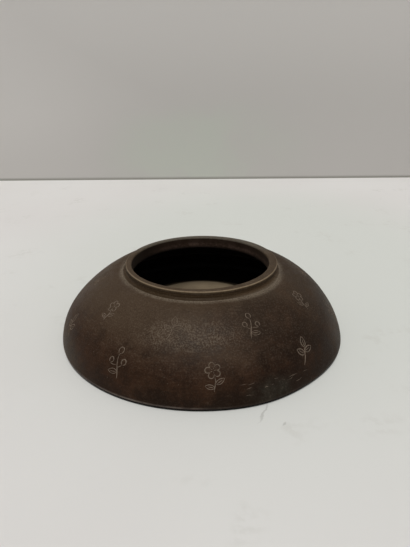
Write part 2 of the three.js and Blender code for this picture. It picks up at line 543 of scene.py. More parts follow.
@dataclass(frozen=True)
class Scratches:
    """Short chance scratches in one place of the unrolled skin, drawn between the two ends of each range."""

    from_front: float
    up: float
    spread: Pair
    count: int
    seed: int
    lowest: float = 1.2
    slope: float = 0.1
    chance_slope: float = 0.16
    chance_bend: float = 0.15
    lengths: Pair = (0.8, 2.6)
    widths: Pair = (0.12, 0.2)
    pales: Pair = (0.35, 0.8)
    taper: float = 0.7
    step: float = 0.4

    def strokes(self, reference: float) -> list[Stroke]:
        """Cuts of the scratches.

        Args:
            reference: radius at which the skin is unrolled.

        Returns:
            The cuts.
        """
        rng = np.random.default_rng(self.seed)
        out: list[Stroke] = []
        for _ in range(self.count):
            mid = np.array([math.radians(self.from_front) * reference, self.up])
            mid += rng.normal(0.0, 1.0, 2) * self.spread
            mid[1] = max(mid[1], self.lowest)
            a = rng.normal(self.slope, self.chance_slope)
            half = 0.5 * rng.uniform(*self.lengths) * heading(a)
            bend = rng.normal(0.0, self.chance_bend, 2)
            line = curve(mid - half, mid + bend, mid + half)
            width, pale = rng.uniform(*self.widths), float(rng.uniform(*self.pales))
            out.append(stroke(line, width, pale, self.taper, self.step))
        return out


FIRST_SPRIG = 5.0  # degrees from the front to the first sprig of the lower row
LOWER_ROW = OrnamentRow(
    middle=8.5,
    first=FIRST_SPRIG,
    size=1.12,
    order=(Sprig.BLOSSOM, Sprig.LEAVES, Sprig.BUDS, Sprig.LEAVES, Sprig.BUDS),
    seed=5,
)
UPPER_ROW = OrnamentRow(
    middle=6.2,
    first=FIRST_SPRIG + 180.0 / OrnamentRow.count,
    size=1.02,
    order=(Sprig.BUDS, Sprig.BLOSSOM, Sprig.LEAVES, Sprig.BLOSSOM, Sprig.LEAVES),
    seed=8,
    faint=0.5,
)
FOOT_SCRATCHES = Scratches(from_front=26.0, up=3.0, spread=(5.5, 1.7), count=13, seed=4)


# Meshes


def placed(name: str, data: bpy.types.ID) -> bpy.types.Object:
    """Puts a new object into the scene.

    Args:
        name: its name.
        data: what it shows: a mesh, a camera or a lamp.

    Returns:
        The object, at the origin.
    """
    item = bpy.data.objects.new(name, data)
    bpy.context.scene.collection.objects.link(item)
    return item


def mesh_object(name: str, xyz: np.ndarray, faces: list, **layers: np.ndarray) -> bpy.types.Object:
    """Makes an object from points in millimetres and a list of faces.

    Args:
        name: name of the piece.
        xyz: points, one per row.
        faces: vertex numbers of each face, facing outwards.
        layers: values kept on the points, by the name of their attribute.

    Returns:
        The new object, at the origin.
    """
    mesh = bpy.data.meshes.new(name)
    mesh.from_pydata((xyz * MM).tolist(), [], faces)
    mesh.update()
    mesh.shade_smooth()
    mesh.set_sharp_from_angle(angle=SHARP_FROM)
    for layer, values in layers.items():
        mesh.attributes.new(layer, "FLOAT", "POINT").data.foreach_set("value", values.astype(np.float32))
    return placed(name, mesh)


def by_hand(name: str, xyz: np.ndarray, faces: list, **layers: np.ndarray) -> bpy.types.Object:
    """Makes a piece of the pot: its points moved as a hand would, each one's true radius kept as "reach"."""
    return mesh_object(name, HAND.warp(xyz), faces, reach=np.hypot(xyz[:, 0], xyz[:, 1]) * MM, **layers)


def ring_points(profile: np.ndarray) -> np.ndarray:
    """Turns a profile about the upright axis: (r * cos(a), r * sin(a), z), angle by angle.

    Args:
        profile: rows of radius and height.

    Returns:
        The points, all of one angle together.
    """
    angle = FRONT + SEAM_AT + np.linspace(0.0, 2.0 * math.pi, TURNS, endpoint=False)
    r, z = profile.T
    grid = [np.outer(np.cos(angle), r), np.outer(np.sin(angle), r), np.broadcast_to(z, (TURNS, len(r)))]
    return np.stack(grid, axis=2).reshape(-1, 3)


def ring_mesh(name: str, profile: np.ndarray) -> bpy.types.Object:
    """Turns a closed profile about the upright axis into a closed mesh.

    Args:
        name: name of the piece.
        profile: rows of radius and height, the first one not repeated.

    Returns:
        The new object.
    """
    rows = len(profile)
    r, z = profile.T
    i, j = np.arange(TURNS)[:, None], np.arange(rows)[None, :]
    i2, j2 = (i + 1) % TURNS, (j + 1) % rows
    quads = np.stack([i * rows + j, i2 * rows + j, i2 * rows + j2, i * rows + j2], axis=2).reshape(-1, 4)
    if np.sum(r * np.roll(z, -1) - np.roll(r, -1) * z) < 0.0:
        quads = quads[:, ::-1]
    return by_hand(name, ring_points(profile), quads.tolist())


def disc_mesh(name: str, profile: np.ndarray) -> bpy.types.Object:
    """Turns a profile whose ends lie on the axis into a closed mesh with one point at each pole.

    Args:
        name: name of the piece.
        profile: rows of radius and height, from the lower pole round the outside to the upper pole.

    Returns:
        The new object.
    """
    rows = len(profile) - 2
    low, high = TURNS * rows, TURNS * rows + 1
    poles = [[0.0, 0.0, profile[0, 1]], [0.0, 0.0, profile[-1, 1]]]
    i = np.arange(TURNS)
    i2 = (i + 1) % TURNS
    a, b, j = i[:, None] * rows, i2[:, None] * rows, np.arange(rows - 1)[None, :]
    faces = np.stack([a + j, b + j, b + j + 1, a + j + 1], axis=2).reshape(-1, 4).tolist()
    faces += np.stack([np.full(TURNS, low), i2 * rows, i * rows], axis=1).tolist()
    faces += np.stack([np.full(TURNS, high), i * rows + rows - 1, i2 * rows + rows - 1], axis=1).tolist()
    return by_hand(name, np.concatenate([ring_points(profile[1:-1]), poles]), faces)


def sunk(points: np.ndarray, strokes: list[Stroke], slope: float) -> tuple[np.ndarray, np.ndarray]:
    """Depth and paleness of the cuts at points of the unrolled skin.

    A cut is a V: its depth is slope * (half width - distance to its middle line). Where cuts meet, the deeper
    one wins.

    Args:
        points: places on the skin.
        strokes: the cuts.
        slope: depth over half width.

    Returns:
        Depth, and paleness from 0 to 1.
    """
    depth, pale = np.zeros(len(points)), np.zeros(len(points))
    for cut in strokes:
        low, high = cut.line.min(axis=0) - WIDE_CUT, cut.line.max(axis=0) + WIDE_CUT
        near = np.flatnonzero(np.all((points > low) & (points < high), axis=1))
        if not len(near):
            continue
        start = cut.line[:-1]
        way = cut.line[1:] - start
        off = points[near][:, None, :] - start[None]
        t = np.clip(np.sum(off * way, axis=2) / np.sum(way * way, axis=1), 0.0, 1.0)
        gap = np.hypot(*np.moveaxis(off - t[..., None] * way, 2, 0))
        half = cut.half[:-1] + t * (cut.half[1:] - cut.half[:-1])
        inside = np.max(half - gap, axis=1)
        share = np.max((half - gap) / half, axis=1)
        depth[near] = np.maximum(depth[near], slope * np.maximum(inside, 0.0))
        pale[near] = np.maximum(pale[near], cut.pale * np.clip(share, 0.0, 1.0))
    return depth, pale


@dataclass(frozen=True)
class CarvedSkin:
    """Outer face of a hollow piece, with V-shaped cuts sunk in it, closed by a plain inner face.

    The skin is laid out flat: u is the run round the pot at the reference radius, v the run up the meridian.
    """

    name: str
    meridian: np.ndarray
    inner: np.ndarray
    rows: list[OrnamentRow | Scratches]
    reference: float
    slope: float = 0.75
    margin: float = 0.4
    clearance: float = 0.5
    row_step: float = 1.05
    edge_row: float = 0.22
    batch: int = 400
    same: float = 1e-4
    weld: float = 1e-5

    @cached_property
    def strokes(self) -> list[Stroke]:
        """All the cuts in the skin."""
        return [cut for row in self.rows for cut in row.strokes(self.reference)]

    @property
    def start(self) -> float:
        """Where the flat skin begins."""
        return SEAM_AT * self.reference

    @property
    def span(self) -> float:
        """How long it is round the pot."""
        return 2.0 * math.pi * self.reference

    def build(self) -> bpy.types.Object:
        """Triangulates the flat skin along the cuts, sinks them, rolls it up and closes it.

        Returns:
            The piece.
        """
        run = run_along(self.meridian)
        flat, triangles = self.flat_mesh(run[-1])
        outer, pale = self.rolled(flat, run)
        stitched, bottom, top = self.borders(flat, run[-1])
        triangles = stitched[triangles]

        inside = len(flat) + np.arange(TURNS * len(self.inner)).reshape(TURNS, -1)
        chain = np.concatenate([top[:, None], inside, bottom[:, None]], axis=1)
        beside = np.roll(chain, -1, axis=0)
        quads = np.stack([chain[:, :-1], beside[:, :-1], beside[:, 1:], chain[:, 1:]], axis=2).reshape(-1, 4)
        xyz = np.concatenate([outer, ring_points(self.inner)])
        cut = np.concatenate([pale, np.zeros(inside.size)])

        used = np.unique(np.concatenate([triangles.ravel(), quads.ravel()]))
        number = np.zeros(len(xyz), int)
        number[used] = np.arange(len(used))
        faces = number[triangles].tolist() + number[quads].tolist()
        return by_hand(self.name, xyz[used], faces, cut=cut[used])

    def rolled(self, flat: np.ndarray, run: np.ndarray) -> tuple[np.ndarray, np.ndarray]:
        """Sinks the cuts and rolls the skin up.

        A point stands at the meridian's (r, z) at v, less its depth along the normal (dz/dv, -dr/dv), at the
        angle u / reference from the front.

        Args:
            flat: points of the flat skin.
            run: v of each point of the meridian.

        Returns:
            The points in space, and how pale each is.
        """
        depth, pale = sunk(flat, self.strokes, self.slope)
        u, v = flat.T
        r, z = (np.interp(v, run, values) for values in self.meridian.T)
        dr, dz = (np.interp(v, run, values) for values in np.gradient(self.meridian, run, axis=0).T)
        r, z = r - depth * dz, z + depth * dr
        angle = FRONT + u / self.reference
        return np.stack([r * np.cos(angle), r * np.sin(angle), z], axis=1), pale

    def borders(self, flat: np.ndarray, top: float) -> tuple[np.ndarray, np.ndarray, np.ndarray]:
        """Stitches the seam and finds the skin's lower and upper border.

        Args:
            flat: points of the flat skin.
            top: v of the upper border.

        Returns:
            Number of each point, those at the seam's right being those at its left, and the numbers along
            the lower and the upper border, column by column.
        """
        u, v = flat.T
        right = np.flatnonzero(u > self.start + self.span - self.same)
        left = np.flatnonzero(u < self.start + self.same)
        stitched = np.arange(len(flat))
        stitched[right[np.argsort(v[right])]] = left[np.argsort(v[left])]
        column = np.rint((u - self.start) / self.span * TURNS).astype(int) % TURNS
        edges = np.zeros((2, TURNS), int)
        for edge, on_edge in zip(edges, (v < self.same, v > top - self.same)):
            points = np.setdiff1d(np.flatnonzero(on_edge), right)
            edge[column[points]] = points
        return stitched, *edges

    def plain_points(self, top: float) -> list[np.ndarray]:
        """Points of the border, and of staggered rows inside it that keep clear of the cuts.

        Args:
            top: v of the upper border.

        Returns:
            The points, the border first.
        """
        u = self.start + np.linspace(0.0, self.span, TURNS + 1)
        v = np.linspace(0.0, top, max(3, int(round(top / self.row_step)) + 1))
        border = [np.stack([u, np.full_like(u, edge)], axis=1) for edge in (0.0, top)]
        border += [np.stack([np.full(len(v) - 2, edge), v[1:-1]], axis=1) for edge in (u[0], u[-1])]
        rows = np.concatenate([[self.edge_row], v[1:-1], [top - self.edge_row]])[:, None]
        stagger = (np.arange(len(rows)) % 2)[:, None] * 0.5 * (u[1] - u[0])
        plain = np.stack(np.broadcast_arrays(u[None, 1:-1] + stagger, rows), axis=2).reshape(-1, 2)
        plain = plain[plain[:, 0] < u[-1] - self.clearance]

        marks = np.concatenate([cut.line for cut in self.strokes])
        low = np.array([self.start, 0.0]) + self.margin
        high = np.array([self.start + self.span, top]) - self.margin
        if (marks < low).any() or (marks > high).any():
            raise ValueError(f"a cut runs off the skin of {self.name}")
        clear = np.ones(len(plain), bool)
        for part in np.array_split(marks, max(1, len(marks) // self.batch)):
            gap = np.hypot(plain[:, None, 0] - part[None, :, 0], plain[:, None, 1] - part[None, :, 1])
            clear &= gap.min(axis=1) > self.clearance
        return [*border, plain[clear]]

    def flat_mesh(self, top: float) -> tuple[np.ndarray, np.ndarray]:
        """Triangulates the flat skin so that triangle edges follow every cut's middle and both its sides.

        Args:
            top: v of the upper border.

        Returns:
            Points and triangles.
        """
        points, edges = self.plain_points(top), []
        count = sum(len(p) for p in points)
        for cut in self.strokes:
            made, joined = cut.outline()
            points.append(made)
            edges.append(count + joined)
            count += len(made)
        flat = [Vector(p) for p in np.concatenate(points).tolist()]
        verts, _, faces, *_ = delaunay_2d_cdt(flat, np.concatenate(edges).tolist(), [], 0, self.weld)
        return np.array([v[:] for v in verts]), np.array(faces)


# Finishes


def srgb(colour: Colour) -> tuple[float, float, float, float]:
    """Turns a display colour into the linear one that the shader takes.

    Args:
        colour: red, green and blue, 0 to 255.

    Returns:
        The same in linear values of 0 to 1, with a fourth for its cover.
    """
    c = np.array(colour) / 255.0
    lin = np.where(c <= 0.04045, c / 12.92, ((c + 0.055) / 1.055) ** 2.4)
    return (*[float(v) for v in lin], 1.0)


class Graph:
    """Lays out the nodes of one material and links them.

    It reads Object coordinates, in metres: where is the whole position, and x, y and z are its parts.
    """

    def __init__(self, name: str) -> None:
        """Starts a material that reads its place.

        Args:
            name: name of the material.
        """
        self.material = bpy.data.materials.new(name)
        self.material.use_nodes = True
        self.tree = self.material.node_tree
        self.tree.nodes.clear()
        self.where = self.node("ShaderNodeTexCoord", {}).outputs["Object"]
        self.x, self.y, self.z = self.node("ShaderNodeSeparateXYZ", {0: self.where}).outputs

    def node(self, kind: str, inputs: dict[str | int, object], **settings: object) -> bpy.types.Node:
        """Adds a node.

        Args:
            kind: node type.
            inputs: a socket to link or a value to set, by the name or number of the input.
            settings: properties of the node.

        Returns:
            The node.
        """
        made = self.tree.nodes.new(kind)
        for key, value in settings.items():
            setattr(made, key, value)
        for key, value in inputs.items():
            if isinstance(value, Socket):
                self.tree.links.new(value, made.inputs[key])
            else:
                made.inputs[key].default_value = value
        return made

    def finished(self, inputs: dict[str | int, object]) -> bpy.types.Material:
        """Ends the graph in a Principled shader.

        Args:
            inputs: a socket or a value for each of the shader's inputs that is set.

        Returns:
            The material.
        """
        shader = self.node("ShaderNodeBsdfPrincipled", inputs)
        self.node("ShaderNodeOutputMaterial", {0: shader.outputs[0]})
        return self.material

    def kept(self, layer: str) -> Socket:
        """Value that the mesh keeps on its points."""
        return self.node("ShaderNodeAttribute", {}, attribute_name=layer).outputs["Fac"]

    def math(self, how: str, a: object, b: object = 0.0) -> Socket:
        """Works out one sum with two values or sockets, or with the first alone."""
        return self.node("ShaderNodeMath", {0: a, 1: b}, operation=how).outputs[0]

    def times(self, *values: object) -> Socket:
        """Multiplies values or sockets."""
        return reduce(lambda a, b: self.math("MULTIPLY", a, b), values)

    def plus(self, *values: object) -> Socket:
        """Adds values or sockets up."""
        return reduce(lambda a, b: self.math("ADD", a, b), values)

    def blend(self, *terms: tuple[Socket, float]) -> Socket:
        """Adds up sockets, each times its weight."""
        return self.plus(*[self.times(*term) for term in terms])

    def ramp(self, value: Socket, start: float, end: float, low: float = 0.0, high: float = 1.0) -> Socket:
        """Goes softly from low to high while a value goes from start to end, and is level outside of them."""
        inputs = dict(enumerate((value, start, end, low, high)))
        return self.node("ShaderNodeMapRange", inputs, interpolation_type="SMOOTHSTEP").outputs[0]

    def along(self, value: Socket, start: float, end: float, low: float = 0.0, high: float = 1.0) -> Socket:
        """The same ramp for a length, with its start and end in millimetres."""
        return self.ramp(value, start * MM, end * MM, low, high)

    def noise(self, size: float, detail: float, rough: float = 0.5, where: Socket | None = None) -> Socket:
        """Adds a noise texture.

        Args:
            size: size of its spots, in millimetres.
            detail: octaves.
            rough: strength of the finer octaves.
            where: place at which it is read, if that isn't the position.

        Returns:
            A value of about 0 to 1.
        """
        inputs = {"Vector": where or self.where, "Scale": 1.0 / (size * MM)}
        inputs |= {"Detail": detail, "Roughness": rough}
        return self.node("ShaderNodeTexNoise", inputs).outputs["Fac"]

    def strewn(self, size: float, full: float, gone: float) -> tuple[Socket, Socket, Socket]:
        """Round spots strewn at random, one to each cell of a Voronoi pattern.

        Args:
            size: size of a cell, in millimetres.
            full: radius of a spot's full middle, in cells.
            gone: radius at which it ends.

        Returns:
            The share of the spot, and two chance values of 0 to 1 that hold for a whole cell.
        """
        inputs = {"Vector": self.where, "Scale": 1.0 / (size * MM)}
        cells = self.node("ShaderNodeTexVoronoi", inputs, feature="F1").outputs
        chances = self.node("ShaderNodeSeparateColor", {0: cells["Color"]}).outputs
        return self.ramp(cells["Distance"], full, gone, 1.0, 0.0), chances[0], chances[1]

    def near(self, place: Triple, size: Triple, turn: float = 0.0, where: Socket | None = None) -> Socket:
        """Share of 1 round a place, which fades to 0 at an ellipsoid round it.

        Args:
            place: middle of the ellipsoid, in millimetres.
            size: its half axes, in millimetres.
            turn: how far it is turned about the upright, in radians.
            where: place that is judged, if that isn't the position.

        Returns:
            The share.
        """
        inputs = {
            "Vector": where or self.where,
            "Location": [v * MM for v in place],
            "Rotation": (0.0, 0.0, turn),
            "Scale": [v * MM for v in size],
        }
        inside = self.node("ShaderNodeMapping", inputs, vector_type="TEXTURE").outputs[0]
        length = self.node("ShaderNodeVectorMath", {0: inside}, operation="LENGTH").outputs["Value"]
        border, core = 1.0, 0.35
        return self.ramp(length, border, core)

    def coats(self, ground: Socket | Colour, *layers: tuple[Socket, Socket | Colour]) -> Socket:
        """Lays colours over a ground, one after another.

        Args:
            ground: display colour, or a socket with a linear one.
            layers: pairs of share and colour.

        Returns:
            The colour.
        """
        for share, colour in layers:
            a, b = (c if isinstance(c, Socket) else srgb(c) for c in (ground, colour))
            ground = self.node("ShaderNodeMix", {0: share, 6: a, 7: b}, data_type="RGBA").outputs[2]
        return ground


@dataclass(frozen=True)
class Mark:
    """Soft-edged place on the pot, where a layer of the finish changes."""

    from_front: float
    radius: float
    height: float
    size: Triple

    def share(self, g: Graph) -> Socket:
        """Share of the mark, 1 in its middle and 0 from its border on."""
        x, y = self.radius * heading(FRONT + math.radians(self.from_front))
        return g.near((x, y, self.height), self.size)


class ClayGraph(Graph):
    """Graph of a clay finish, with what its layers read.

    That is the true distance from the axis, cloudy, spotty, fine and grainy noise, mottle, which is spotty
    and fine together, and the turning marks. These are noise read slowly round the pot, on a circle of 8 mm,
    and fast up the skin, where a step inwards counts nearly as much as a climb.
    """

    def __init__(self, name: str) -> None:
        """Starts the material and lays out what its layers read.

        Args:
            name: name of the material.
        """
        super().__init__(name)
        self.radius = self.kept("reach")
        self.broad = self.noise(17.0, 4.0, 0.6)
        self.patch = self.noise(4.6, 5.0, 0.65)
        self.fine = self.noise(0.7, 4.0, 0.6)
        self.grain = self.noise(0.5, 2.0, 0.7)
        self.mottle = self.blend((self.patch, 0.6), (self.fine, 0.4))
        angle, circle, inwards = self.math("ARCTAN2", self.y, self.x), 8.0 * MM, 0.9
        skin = {
            0: self.times(self.math("COSINE", angle), circle),
            1: self.times(self.math("SINE", angle), circle),
            2: self.math("SUBTRACT", self.z, self.times(self.radius, inwards)),
        }
        self.streaks = self.noise(0.8, 2.0, where=self.node("ShaderNodeCombineXYZ", skin).outputs[0])


@dataclass(frozen=True)
class ClayFinish:
    """Unglazed clay, rubbed outside and painted near black inside as shade, paler where it is worn, cut or
    dusty, with painted highlights, sheen and shade on the lip, the flanks, the foot and round the neck.

    Every piece has it, the lip with more wear, so the colour runs on across the joints. It is laid on in
    layers, each a share of 0 to 1 and a colour. A fade along x, y, z or the radius gives its start and end in
    millimetres.
    """

    name: str
    wear: float = 0.0
    dome: Dome = Dome()
    deep: Colour = (29, 17, 8)
    brown: Colour = (53, 34, 21)
    bloom: Colour = (68, 55, 42)
    worn: Colour = (112, 101, 87)
    speck: Colour = (14, 11, 9)
    # colour of the worn lip edge with its painted highlight
    worn_lip_and_highlight: Colour = (132, 116, 93)
    rime: Colour = (92, 92, 86)
    cut: Colour = (117, 104, 91)
    stain: Colour = (42, 41, 34)
    # cove: colour of the painted shade in the hollow round the neck's foot
    neck: Colour = (64, 49, 32)
    cove: Colour = (46, 34, 19)
    # colour of the painted highlight along the foot's arris
    arris_highlight: Colour = (104, 95, 88)
    # near black of the painted shade on the foot's trimmed corner
    shade: Colour = (5, 4, 3)
    bore: Colour = (42, 31, 23)
    smear: Colour = (78, 63, 55)
    # inner: near black of the painted shade inside the pot
    inner: Colour = (17, 13, 11)
    scale: Colour = (130, 116, 95)
    sheen: float = 0.045
    sheen_spread: float = 0.35
    sheen_tint: tuple[float, float, float, float] = (1.0, 0.84, 0.66, 1.0)
    relief: float = 0.55
    relief_depth: float = 0.1
    rubbed_front: Mark = Mark(-6.0, 42.5, 19.5, (23.0, 9.0, 5.5))
    dark_shoulder: Mark = Mark(32.0, 43.0, 19.5, (36.0, 20.0, 10.0))
    # places of the painted sheen on the low left and right flanks
    painted_sheen_left: Mark = Mark(-66.0, 53.0, 4.0, (16.0, 26.0, 8.0))
    painted_sheen_right: Mark = Mark(76.0, 53.0, 8.0, (12.0, 22.0, 11.0))
    water_stain: Mark = Mark(24.0, 54.0, 4.0, (11.0, 10.0, 6.0))
    dusty_hollow: Mark = Mark(47.0, 30.5, 25.0, (19.0, 19.0, 5.0))

    def build(self) -> bpy.types.Material:
        """Builds the material.

        Returns:
            The material.
        """
        g = ClayGraph(self.name)
        colour = self.clouds(g)
        for layers in (self.rubbing, self.sheen_stain_and_cuts, self.mouth, self.foot, self.grain, self.inside):
            colour = g.coats(colour, *layers(g))
        grit = g.noise(0.26, 2.0)
        relief = {
            "Strength": self.relief,
            "Distance": self.relief_depth * MM,
            "Height": g.blend((grit, 0.5), (g.fine, 0.8), (g.streaks, 0.9)),
        }
        return g.finished(
            {
                "Base Color": colour,
                "Roughness": g.ramp(g.mottle, 0.35, 0.68, 0.46, 0.66),
                "Specular IOR Level": g.along(g.z, 0.7, 1.2, 0.02, 0.09),
                "Sheen Weight": self.sheen,
                "Sheen Roughness": self.sheen_spread,
                "Sheen Tint": self.sheen_tint,
                "Normal": g.node("ShaderNodeBump", relief).outputs[0],
            }
        )

    def clouds(self, g: ClayGraph) -> Socket:
        """Ground of the outer clay: brown and deep brown in clouds, darker to the right and at the foot.

        Args:
            g: the graph.

        Returns:
            The colour.
        """
        tone = g.blend((g.broad, 0.42), (g.patch, 0.36), (g.streaks, 0.09), (g.fine, 0.13))
        to_right = g.along(g.x, -45.0, 40.0, 0.06, -0.08)
        to_foot = g.along(g.z, 9.0, 3.0, 0.0, -0.055)
        return g.coats(self.deep, (g.ramp(g.plus(tone, to_right, to_foot), 0.38, 0.62), self.brown))

    def rubbing(self, g: ClayGraph) -> list[tuple[Socket, Colour]]:
        """Paler bloom on the shoulder, dust on the rubbed front, scraping marks, and pale and dark specks.

        Args:
            g: the graph.

        Returns:
            The layers.
        """
        climb = g.plus(g.along(g.z, 5.0, 24.0), g.blend((g.broad, 0.9), (g.patch, 0.5)))
        shoulder = g.ramp(self.dark_shoulder.share(g), 0.0, 1.0, 1.0, 0.4)
        bloom = g.times(g.ramp(climb, 0.85, 1.9, 0.0, 0.9), shoulder, g.along(g.x, 12.0, 32.0, 1.0, 0.6))
        dust = g.times(g.ramp(g.grain, 0.44, 0.6), g.ramp(g.patch, 0.38, 0.6, 0.35, 1.0))
        front = g.times(self.rubbed_front.share(g), 0.42)
        scrape = g.times(
            g.ramp(g.streaks, 0.56, 0.66),
            g.ramp(g.patch, 0.42, 0.62, 0.0, 0.13),
            g.along(g.z, 8.0, 15.0, 0.25, 1.0),
            g.along(g.x, 10.0, 28.0, 1.0, 0.4),
        )
        spot, one, other = g.strewn(1.1, 0.1, 0.2)
        pale = g.times(spot, g.ramp(one, 0.93, 0.95, 0.0, 0.35))
        dark = g.times(spot, g.ramp(other, 0.86, 0.88, 0.0, 0.7))
        return [
            (bloom, self.bloom),
            (g.times(dust, front), self.worn),
            (scrape, self.worn),
            (pale, self.worn),
            (dark, self.speck),
        ]

    def sheen_stain_and_cuts(self, g: ClayGraph) -> list[tuple[Socket, Colour]]:
        """Painted sheen of reflected and bounced light on the low flanks, a flecked water stain, and the pale
        clay of the cuts.

        Args:
            g: the graph.

        Returns:
            The layers.
        """
        # painted sheen: the low flanks are paler where the rims catch reflected light
        sheen_place = g.math("MAXIMUM", self.painted_sheen_left.share(g), self.painted_sheen_right.share(g))
        painted_sheen = g.times(sheen_place, g.ramp(g.patch, 0.3, 0.65, 0.05, 0.16))
        stain = g.times(self.water_stain.share(g), g.ramp(g.patch, 0.36, 0.6, 0.1, 0.6))
        fleck = g.times(stain, g.ramp(g.blend((g.fine, 0.6), (g.patch, 0.4)), 0.56, 0.66, 0.0, 0.35))
        cut = g.times(
            g.ramp(g.kept("cut"), 0.0, 0.45),
            g.ramp(g.fine, 0.36, 0.58, 0.5, 1.0),
            g.ramp(g.patch, 0.36, 0.56, 0.72, 1.0),
        )
        return [(painted_sheen, self.worn), (stain, self.stain), (fleck, self.worn), (cut, self.cut)]

    def mouth(self, g: ClayGraph) -> list[tuple[Socket, Colour]]:
        """Neck, painted shade in the hollow round its foot, worn raised line, dust beside it, worn lip edge
        with a painted highlight, and dull back of the lip.

        Args:
            g: the graph.

        Returns:
            The layers.
        """
        neck = g.times(
            g.along(g.radius, 30.6, 29.8),
            g.along(g.z, 24.9, 25.0),
            g.along(g.z, 27.95, 27.8, 0.5, 0.85),
        )
        dusty = self.dusty_hollow.share(g)
        # painted shade: the hollow round the neck's foot is darkened, most at the front, less where dust lies
        hollow = g.times(
            g.along(g.radius, 29.02, 29.12),
            g.along(g.radius, 30.8, 30.25),
            g.along(g.y, -8.0, -20.0, 0.4, 0.7),
            g.along(g.z, 24.5, 24.8),
            g.ramp(dusty, 0.0, 1.0, 1.0, 0.2),
            g.along(g.z, 26.3, 25.7),
        )
        speckle = g.noise(0.42, 2.0, 0.75)
        ragged = g.plus(g.radius, g.ramp(g.fine, 0.3, 0.7, -0.35 * MM, 0.35 * MM))
        line = g.times(
            g.along(ragged, 30.4, 30.8),
            g.along(ragged, 32.7, 30.9),
            g.times(g.ramp(speckle, 0.38, 0.56, 0.3, 1.0), g.ramp(g.patch, 0.32, 0.56, 0.5, 1.0)),
            g.along(g.z, 24.1, 24.8, 0.0, 0.95),
        )
        spilt_dust = g.times(
            g.along(g.radius, 29.2, 30.4),
            g.along(g.radius, 33.4, 31.6),
            dusty,
            g.ramp(speckle, 0.36, 0.6, 0.15, 0.6),
            g.along(g.z, 24.1, 24.8),
        )
        # worn edge of the lip with a painted highlight, strongest at the front
        lip_wear_and_highlight = g.times(
            g.along(g.radius, 28.85, 29.1),
            g.along(g.z, 27.5, 27.8),
            g.ramp(g.fine, 0.3, 0.55, 0.6, 1.0),
            g.along(g.y, 12.0, -26.0, 0.2, 1.0),
        )
        lip_back = g.times(
            g.along(g.z, 27.0, 27.3),
            g.ramp(g.fine, 0.35, 0.6, 0.6, 1.0),
            g.along(g.y, 2.0, 18.0, 0.0, 0.5),
        )
        return [
            (neck, self.neck),
            (hollow, self.cove),
            (line, self.worn),
            (spilt_dust, self.worn),
            (lip_wear_and_highlight, self.worn_lip_and_highlight),
            (lip_back, self.rime),
        ]

    def foot(self, g: ClayGraph) -> list[tuple[Socket, Colour]]:
        """Painted highlight along the arris over the trimmed corner, strongest to the left, painted shade on
        the corner below it, and the worn ring that the pot stands on.

        Args:
            g: the graph.

        Returns:
            The layers.
        """
        # painted highlight along the arris, fading towards the right
        arris = g.times(
            g.along(g.z, 1.05, 1.25),
            g.along(g.z, 1.9, 1.45),
            g.along(g.radius, 53.5, 54.0, 0.0, 0.85),
            g.along(g.x, 15.0, -18.0, 0.1, 1.0),
            g.ramp(g.patch, 0.35, 0.6, 0.4, 1.0),
        )
        # painted shade: the trimmed corner under the arris is painted near black
        corner = g.times(g.along(g.z, 1.2, 1.0, 0.0, 0.97), g.along(g.radius, 53.8, 54.3))
        ring = g.times(
            g.along(g.z, 0.25, 0.05),
            g.along(g.radius, 54.0, 53.2),
            g.ramp(g.mottle, 0.38, 0.6, 0.15, 0.7),
        )
        return [(arris, self.arris_highlight), (corner, self.shade), (ring, self.worn)]

    def grain(self, g: ClayGraph) -> list[tuple[Socket, Colour]]:
        """Wear all over, where the finish has any, and the clay's pale and dark grain.

        Args:
            g: the graph.

        Returns:
            The layers.
        """
        wear = g.ramp(g.mottle, 0.42, 0.62, 0.0, self.wear)
        pale = g.times(g.ramp(g.grain, 0.5, 0.66, 0.0, 0.15), g.along(g.z, 6.0, 16.0, 0.35, 1.0))
        return [(wear, self.worn), (pale, self.worn), (g.ramp(g.grain, 0.46, 0.32, 0.0, 0.2), self.deep)]

    def inside(self, g: ClayGraph) -> list[tuple[Socket, Socket]]:
        """Smeared clay inside the mouth with painted shade to its left and lower down, and the inside painted
        near black as shade, with a pale scale of dried water on the floor.

        A point is inside where (r / R) ** n + ((z - widest) / rise) ** n is below about 0.95.

        Args:
            g: the graph.

        Returns:
            The layers.
        """
        bore = g.times(g.along(g.radius, 27.95, 27.75), g.along(g.z, 27.3, 27.0), g.along(g.z, 22.3, 22.7))
        smear = g.times(g.along(g.z, 25.8, 24.6, 0.25, 1.0), g.along(g.x, -24.0, 0.0, 0.3, 1.0))
        wall = g.coats(
            self.bore,
            (g.times(g.ramp(g.mottle, 0.4, 0.6), smear), self.smear),
            # painted shade: the bore is darker to the left and towards its lower edge
            (g.along(g.x, -14.0, -25.0, 0.0, 0.5), self.inner),
            (g.along(g.z, 24.4, 23.1, 0.0, 0.85), self.inner),
        )
        d = self.dome
        out = g.math("DIVIDE", g.radius, d.radius * MM)
        up = g.math("MAXIMUM", g.math("DIVIDE", g.math("SUBTRACT", g.z, d.widest * MM), d.rise * MM))
        # painted shade: the inside out of the light is painted near black, the floor's pale scale aside
        painted_inside_shade = g.times(
            g.ramp(g.plus(g.math("POWER", out, d.power), g.math("POWER", up, d.power)), 0.965, 0.94),
            g.along(g.z, 1.6, 2.2),
            g.along(g.z, 24.1, 23.5),
            g.math("SUBTRACT", 1.0, bore),
        )
        scale = g.times(
            g.ramp(g.blend((g.broad, 0.5), (g.patch, 0.3), (g.fine, 0.2)), 0.36, 0.6, 0.75, 1.0),
            g.along(g.radius, 35.6, 34.2),
            g.along(g.radius, 34.4, 28.0, 0.62, 1.0),
            g.along(g.x, 2.0, -10.0, 1.0, 0.72),
            g.along(g.z, 5.2, 3.4),
        )
        return [(bore, wall), (painted_inside_shade, g.coats(self.inner, (scale, self.scale)))]


# Pieces


